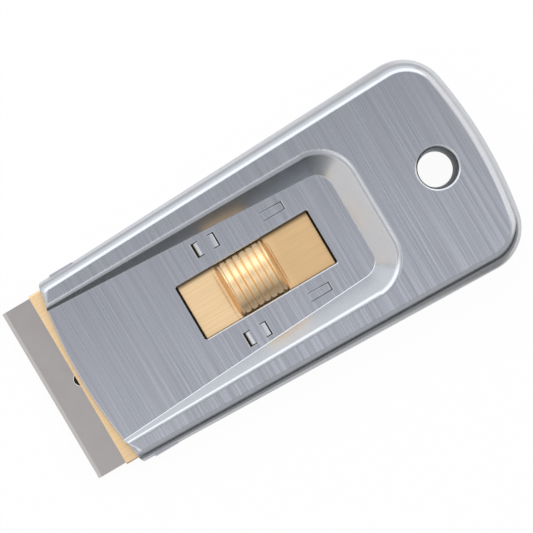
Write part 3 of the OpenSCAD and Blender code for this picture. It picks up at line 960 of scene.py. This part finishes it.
def add(tree, kind, settings=None, **inputs):
    """Adds a shader node with its settings, links or sets its inputs, and gives its outputs. An
    input is a socket to link or a value, and its key is the socket's name with underscores for
    spaces, or i and its index."""
    node = tree.nodes.new("ShaderNode" + kind)
    for key, value in (settings or {}).items():
        setattr(node, key, value)
    for key, value in inputs.items():
        index = int(key[1:]) if key[0] == "i" and key[1:].isdigit() else key.replace("_", " ")
        socket = node.inputs[index]
        if isinstance(value, bpy.types.NodeSocket):
            tree.links.new(value, socket)
        else:
            socket.default_value = value
    return node.outputs


def new_material(name):
    material = bpy.data.materials.new(name)
    material.use_nodes = True
    tree = material.node_tree
    tree.nodes.clear()
    return material, tree


def rgba(value, shade=1.0):
    return (value[0] * shade, value[1] * shade, value[2] * shade, 1)


def brushed_plating(finish):
    """Bright plated steel, brushed across the handle with a belt: long fine streaks along Y that
    are uneven in width and tone. A belt's scratches are about 0.05 mm, too fine for the render,
    so they are drawn 0.15 to 0.6 mm wide."""
    material, tree = new_material("Plated steel, brushed")
    place = add(tree, "TexCoord")["Object"]
    fine = add(tree, "Mapping", Vector=place, Scale=(5200, 40, 40))[0]
    fine = add(tree, "TexNoise", Vector=fine, Scale=1.0, Detail=3.0, Roughness=0.6)[0]
    broad = add(tree, "Mapping", Vector=place, Scale=(1300, 12, 12))[0]
    broad = add(tree, "TexNoise", Vector=broad, Scale=1.0, Detail=2.0, Roughness=0.5)[0]
    streak = add(tree, "Math", {"operation": "ADD"}, i0=fine, i1=broad)[0]
    tone = add(tree, "MapRange", Value=streak, From_Min=0.75, From_Max=1.25)[0]
    mix = add(
        tree,
        "Mix",
        {"data_type": "RGBA"},
        i0=tone,
        i6=rgba(finish.flats, 0.86),
        i7=rgba(finish.flats, 1.14),
    )[2]
    rough = add(
        tree, "MapRange", Value=streak, From_Min=0.7, From_Max=1.3, To_Min=0.32, To_Max=0.24
    )[0]
    bump = add(tree, "Bump", Strength=0.12, Distance=0.03 * MM, Height=streak)[0]
    shader = add(tree, "BsdfPrincipled", Base_Color=mix, Metallic=1.0, Roughness=rough, Normal=bump)
    add(tree, "OutputMaterial", Surface=shader[0])
    return material


def bright_plating(finish):
    """The same plating where the press drew the sheet: smooth, with a faint haze in patches of
    about 2.4 mm."""
    material, tree = new_material("Plated steel, bright")
    place = add(tree, "TexCoord")["Object"]
    haze = add(tree, "TexNoise", Vector=place, Scale=420.0, Detail=4.0, Roughness=0.6)[0]
    mix = add(
        tree,
        "Mix",
        {"data_type": "RGBA"},
        i0=haze,
        i6=rgba(finish.bright, 0.94),
        i7=rgba(finish.bright, 1.06),
    )[2]
    rough = add(tree, "MapRange", Value=haze, To_Min=0.2, To_Max=0.3)[0]
    bump = add(tree, "Bump", Strength=0.08, Distance=0.04 * MM, Height=haze)[0]
    shader = add(tree, "BsdfPrincipled", Base_Color=mix, Metallic=1.0, Roughness=rough, Normal=bump)
    add(tree, "OutputMaterial", Surface=shader[0])
    return material


def dull_steel(name, value, roughness):
    """Dark, dull steel beside the plating: the sheet's punched edges, which are bare and carry
    little of it, darkened further as painted shade, also down the hanging hole's wall, and the stud
    that holds the blade, painted dark as the shade in the blade's hole."""
    material, tree = new_material(name)
    shader = add(tree, "BsdfPrincipled", Base_Color=rgba(value), Metallic=1.0, Roughness=roughness)
    add(tree, "OutputMaterial", Surface=shader[0])
    return material


def sheet_brass(finish):
    """Pale rolled brass: a fine grain along the slide, drawn 0.2 mm wide so that it shows. It is
    deeper in tone behind the thumb piece, and rubbed smoother on the thumb piece. Shade is painted
    on it in dark brown: under the panel beside the window, where it is seen through the tabs'
    slits, and as a soft shadow band along one side of the window."""
    material, tree = new_material("Sheet brass, rolled")
    place = add(tree, "TexCoord")["Object"]
    x, y, z = add(tree, "SeparateXYZ", Vector=place)
    grain = add(tree, "Mapping", Vector=place, Scale=(90, 3600, 900))[0]
    grain = add(tree, "TexNoise", Vector=grain, Scale=1.0, Detail=3.0, Roughness=0.6)[0]
    pale, deep = (
        add(
            tree, "Mix", {"data_type": "RGBA"}, i0=grain, i6=rgba(value, 0.82), i7=rgba(value, 1.12)
        )[2]
        for value in (finish.brass, finish.brass_behind_thumb)
    )
    # The brass is deeper in tone behind the thumb piece
    rear = add(tree, "MapRange", Value=x, From_Max=4 * MM)[0]
    mix = add(tree, "Mix", {"data_type": "RGBA"}, i0=rear, i6=pale, i7=deep)[2]
    # Painted shade: under the panel beside the window and as a shadow band along one side of the
    # window, and nowhere near the lip
    out = add(tree, "Math", {"operation": "ABSOLUTE"}, i0=y)[0]
    side = add(tree, "MapRange", Value=out, From_Min=6.6 * MM, From_Max=7.6 * MM)[0]
    window_shadow_band = add(
        tree,
        "MapRange",
        {"interpolation_type": "SMOOTHSTEP"},
        Value=y,
        From_Min=4.8 * MM,
        From_Max=6.1 * MM,
        To_Max=0.95,
    )[0]
    above_tongue = 2.9 * MM
    flat = add(tree, "Math", {"operation": "LESS_THAN"}, i0=z, i1=above_tongue)[0]
    window_shadow_band = add(tree, "Math", {"operation": "MULTIPLY"}, i0=window_shadow_band, i1=flat)[0]
    painted_shade = add(tree, "Math", {"operation": "MAXIMUM"}, i0=side, i1=window_shadow_band)[0]
    behind = add(tree, "MapRange", Value=x, From_Min=-26 * MM, From_Max=-24 * MM)[0]
    painted_shade = add(tree, "Math", {"operation": "MULTIPLY"}, i0=painted_shade, i1=behind)[0]
    # Mixes the painted shade into the brass
    mix = add(tree, "Mix", {"data_type": "RGBA"}, i0=painted_shade, i6=mix, i7=rgba(finish.brass_shade))[2]
    polish = add(
        tree, "MapRange", Value=z, From_Min=above_tongue, From_Max=3.5 * MM, To_Max=-0.15
    )[0]
    rough = add(tree, "MapRange", Value=grain, To_Min=0.46, To_Max=0.54)[0]
    rough = add(tree, "Math", {"operation": "ADD"}, i0=rough, i1=polish)[0]
    bump = add(tree, "Bump", Strength=0.1, Distance=0.03 * MM, Height=grain)[0]
    shader = add(tree, "BsdfPrincipled", Base_Color=mix, Metallic=1.0, Roughness=rough, Normal=bump)
    add(tree, "OutputMaterial", Surface=shader[0])
    return material


def blade_steel(finish):
    """Hardened strip steel with a thin film of oil: a soft mottle in patches of about 4 mm, and a
    paler ground edge."""
    material, tree = new_material("Blade steel, ground")
    place = add(tree, "TexCoord")["Object"]
    mottle = add(tree, "TexNoise", Vector=place, Scale=260.0, Detail=5.0, Roughness=0.65)[0]
    body = add(
        tree,
        "Mix",
        {"data_type": "RGBA"},
        i0=mottle,
        i6=rgba(finish.blade, 0.9),
        i7=rgba(finish.blade, 1.08),
    )[2]
    x = add(tree, "SeparateXYZ", Vector=place)[0]
    # The bevel is ground 0.75 mm wide, and its border is a little soft
    border = BLADE_LOW.x + 0.75 * MM
    ground = add(
        tree,
        "MapRange",
        Value=x,
        From_Min=border - 0.04 * MM,
        From_Max=border,
        To_Min=1.0,
        To_Max=0.0,
    )[0]
    mix = add(tree, "Mix", {"data_type": "RGBA"}, i0=ground, i6=body, i7=rgba(finish.ground))[2]
    rough = add(tree, "MapRange", Value=mottle, To_Min=0.3, To_Max=0.42)[0]
    bump = add(tree, "Bump", Strength=0.08, Distance=0.04 * MM, Height=mottle)[0]
    shader = add(tree, "BsdfPrincipled", Base_Color=mix, Metallic=1.0, Roughness=rough, Normal=bump)
    add(tree, "OutputMaterial", Surface=shader[0])
    return material


def rolled_metal(name, value, along):
    """Plain rolled sheet: faint lines along the rolling direction, drawn 0.4 mm wide on the back
    plate and 1.7 mm on the spine so that they show."""
    material, tree = new_material(name)
    place = add(tree, "TexCoord")["Object"]
    lines = add(tree, "Mapping", Vector=place, Scale=along)[0]
    lines = add(tree, "TexNoise", Vector=lines, Scale=1.0, Detail=3.0, Roughness=0.6)[0]
    mix = add(
        tree, "Mix", {"data_type": "RGBA"}, i0=lines, i6=rgba(value, 0.88), i7=rgba(value, 1.1)
    )[2]
    rough = add(tree, "MapRange", Value=lines, To_Min=0.3, To_Max=0.42)[0]
    bump = add(tree, "Bump", Strength=0.1, Distance=0.03 * MM, Height=lines)[0]
    shader = add(tree, "BsdfPrincipled", Base_Color=mix, Metallic=1.0, Roughness=rough, Normal=bump)
    add(tree, "OutputMaterial", Surface=shader[0])
    return material


class SCRAPER_OT_flat_parts(bpy.types.Operator):
    """Gives the blade, its spine and the back plate their finishes"""

    bl_idname = "scraper.flat_parts"
    bl_label = "Blade and Back Plate"

    def execute(self, context):
        finish = context.scene.scraper_finish
        finishes = {
            "razor_blade": blade_steel(finish),
            "blade_spine": rolled_metal("Aluminium strip, rolled", finish.spine, (600, 40, 600)),
            "back_plate": rolled_metal("Plated steel sheet, rolled", finish.plate, (60, 2400, 60)),
        }
        for name, material in finishes.items():
            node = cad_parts[name]
            node.data.materials.clear()
            node.data.materials.append(material)
        return {"FINISHED"}


def softbox(name, place, size, power, tint):
    """A rectangular lamp that faces the origin."""
    lamp = bpy.data.lights.new(name, "AREA")
    lamp.shape = "RECTANGLE"
    lamp.size, lamp.size_y = size
    lamp.energy = power
    lamp.color = linear(tint)
    obj = bpy.data.objects.new(name, lamp)
    obj.location = place
    obj.rotation_euler = (-Vector(place)).to_track_quat("-Z", "Y").to_euler()
    bpy.context.collection.objects.link(obj)


def studio_paper(finish):
    """White paper that glows for the camera, so that it comes out evenly white, and a little where
    it is mirrored or seen through something."""
    material, tree = new_material("Studio paper")
    paper = add(tree, "BsdfDiffuse", Color=rgba(finish.floor))[0]
    glow = add(tree, "Emission", Color=(1, 1, 1, 1), Strength=1.0)[0]
    path = add(tree, "LightPath")
    direct = add(tree, "Math", {"operation": "MULTIPLY"}, i0=path["Is Camera Ray"], i1=0.95)[0]
    seen = add(
        tree, "Math", {"operation": "ADD"}, i0=path["Is Glossy Ray"], i1=path["Is Transmission Ray"]
    )[0]
    share = add(tree, "Math", {"operation": "MULTIPLY_ADD"}, i0=seen, i1=0.2, i2=direct)[0]
    shader = add(tree, "MixShader", i0=share, i1=paper, i2=glow)
    add(tree, "OutputMaterial", Surface=shader[0])
    return material


def studio_card():
    """Matt card: black opposite the side softbox, grey near the walls, paler on the lit side and
    towards the front. On the floor beside the object's shaded side it is painted shadow, seen only
    in reflections."""
    material, tree = new_material("Studio card")
    place = add(tree, "TexCoord")["Object"]
    x, y, _ = add(tree, "SeparateXYZ", Vector=place)
    fade = add(tree, "MapRange", Value=x, From_Min=-0.5, From_Max=-0.08, To_Min=0.7, To_Max=0.09)[0]
    near = add(tree, "MapRange", Value=y, From_Min=-0.1, From_Max=-0.045, To_Max=0.4)[0]
    lit = add(tree, "MapRange", Value=y, From_Max=0.01, To_Max=0.3)[0]
    near = add(tree, "Math", {"operation": "ADD"}, i0=near, i1=lit)[0]
    tone = add(tree, "Math", {"operation": "MAXIMUM"}, i0=fade, i1=near)[0]
    paint = add(tree, "BsdfDiffuse", Color=tone)
    add(tree, "OutputMaterial", Surface=paint[0])
    return material


class SCRAPER_OT_studio(bpy.types.Operator):
    """Sets the floor, the soft studio light and the camera"""

    bl_idname = "scraper.studio"
    bl_label = "Studio"

    def execute(self, context):
        scene = context.scene
        floor = begin("studio_floor", bpy.ops.mesh.primitive_plane_add, size=6)
        object_mode()
        floor.data.materials.append(studio_paper(scene.scraper_finish))

        for lamp in SOFTBOXES:
            softbox(*lamp)
        material = studio_card()
        for name, low, high in CARDS:
            card = block(name, low, high)
            object_mode()
            card.data.materials.append(material)
            card.visible_camera = card.visible_diffuse = card.visible_shadow = False

        world = bpy.data.worlds.new("Studio")
        scene.world = world
        world.use_nodes = True
        tree = world.node_tree
        tree.nodes.clear()
        light = add(tree, "Background", Color=(1, 1, 1, 1), Strength=0.55)
        add(tree, "OutputWorld", Surface=light[0])

        lens = bpy.data.cameras.new("Camera")
        lens.lens = LENS
        lens.sensor_width = SENSOR
        camera = bpy.data.objects.new("Camera", lens)
        camera.location = CAMERA_PLACE
        camera.rotation_euler = (0, 0, CAMERA_TURN)
        context.collection.objects.link(camera)
        scene.camera = camera
        scene.view_settings.view_transform = "Standard"
        return {"FINISHED"}


class SCRAPER_PT_sidebar(bpy.types.Panel):
    """Pieces of the scraper and their sizes"""

    bl_idname = "SCRAPER_PT_sidebar"
    bl_label = "Razor Blade Scraper"
    bl_space_type = "VIEW_3D"
    bl_region_type = "UI"
    bl_category = "Scraper"

    def draw(self, context):
        for piece in PIECES:
            self.layout.operator(piece.bl_idname)
        for name in GROUPS:
            group = getattr(context.scene, name)
            for key in setting_names(group):
                self.layout.prop(group, key)


PIECES = (SCRAPER_OT_shell, SCRAPER_OT_carrier, SCRAPER_OT_flat_parts, SCRAPER_OT_studio)
GROUPS = {
    "scraper_handle": ScraperHandle,
    "scraper_carrier": ScraperCarrier,
    "scraper_finish": ScraperFinish,
}
CLASSES = (*GROUPS.values(), *PIECES, SCRAPER_PT_sidebar)


def register():
    for cls in CLASSES:
        bpy.utils.register_class(cls)
    for name, group in GROUPS.items():
        setattr(bpy.types.Scene, name, PointerProperty(type=group))


def unregister():
    for name in GROUPS:
        delattr(bpy.types.Scene, name)
    for cls in reversed(CLASSES):
        bpy.utils.unregister_class(cls)


def main():
    register()
    bpy.ops.scraper.shell()
    bpy.ops.scraper.carrier()
    bpy.ops.scraper.flat_parts()
    bpy.ops.scraper.studio()


if __name__ == "__main__":
    main()
